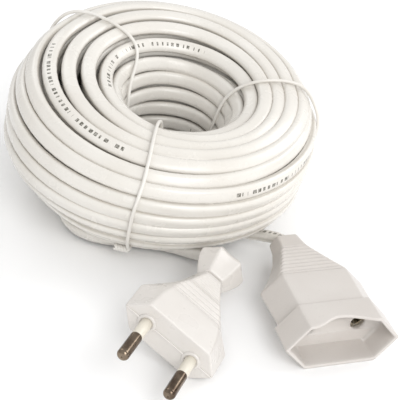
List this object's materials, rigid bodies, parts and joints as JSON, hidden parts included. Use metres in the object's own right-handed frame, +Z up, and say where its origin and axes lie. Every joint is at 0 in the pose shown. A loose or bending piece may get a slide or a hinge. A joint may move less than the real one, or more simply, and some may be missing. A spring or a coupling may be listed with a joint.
{
  "type": "extension cord",
  "caption": "Coiled flat white two-core extension cord with a moulded flat two-pin plug, a hexagonal coupler socket and wire ties.",
  "frame": {"origin": "on the floor under the middle of the coupler, which lies flat; the coupler is the piece the cord leaves from", "axes": "+Z up; the coupler's mouth faces -Y and its cable leaves towards +Y; +X runs across the coupler's width"},
  "size_m": [0.1241, 0.1926, 0.0659],
  "materials": {
    "coupler_pvc": "satin",
    "plug_pvc": "satin",
    "carrier_plastic": "matt",
    "contact_brass": "plain",
    "pin_nickel": "polished nickel plate",
    "sleeve_plastic": "satin",
    "core_brown": "satin",
    "core_blue": "satin",
    "cable_pvc": "soft gloss",
    "tie_wire": "soft gloss"
  },
  "bodies": {
    "root": {"coupler_shroud": "coupler_pvc", "coupler_body": "coupler_pvc", "coupler_carrier": "carrier_plastic", "coupler_contact_live": "contact_brass", "coupler_contact_neutral": "contact_brass", "coupler_crimp_live": "contact_brass", "coupler_crimp_neutral": "contact_brass", "coupler_core_live": "core_brown", "coupler_core_neutral": "core_blue", "plug_body": "plug_pvc", "plug_bridge": "carrier_plastic", "plug_pin_live": "pin_nickel", "plug_pin_neutral": "pin_nickel", "plug_sleeve_live": "sleeve_plastic", "plug_sleeve_neutral": "sleeve_plastic", "plug_crimp_live": "contact_brass", "plug_crimp_neutral": "contact_brass", "plug_core_live": "core_brown", "plug_core_neutral": "core_blue", "cable_coil": "cable_pvc", "cable_lead_plug": "cable_pvc", "cable_lead_coupler": "cable_pvc", "tie_left": "tie_wire", "tie_front": "tie_wire", "tie_right": "tie_wire"}
  },
  "joints": []
}
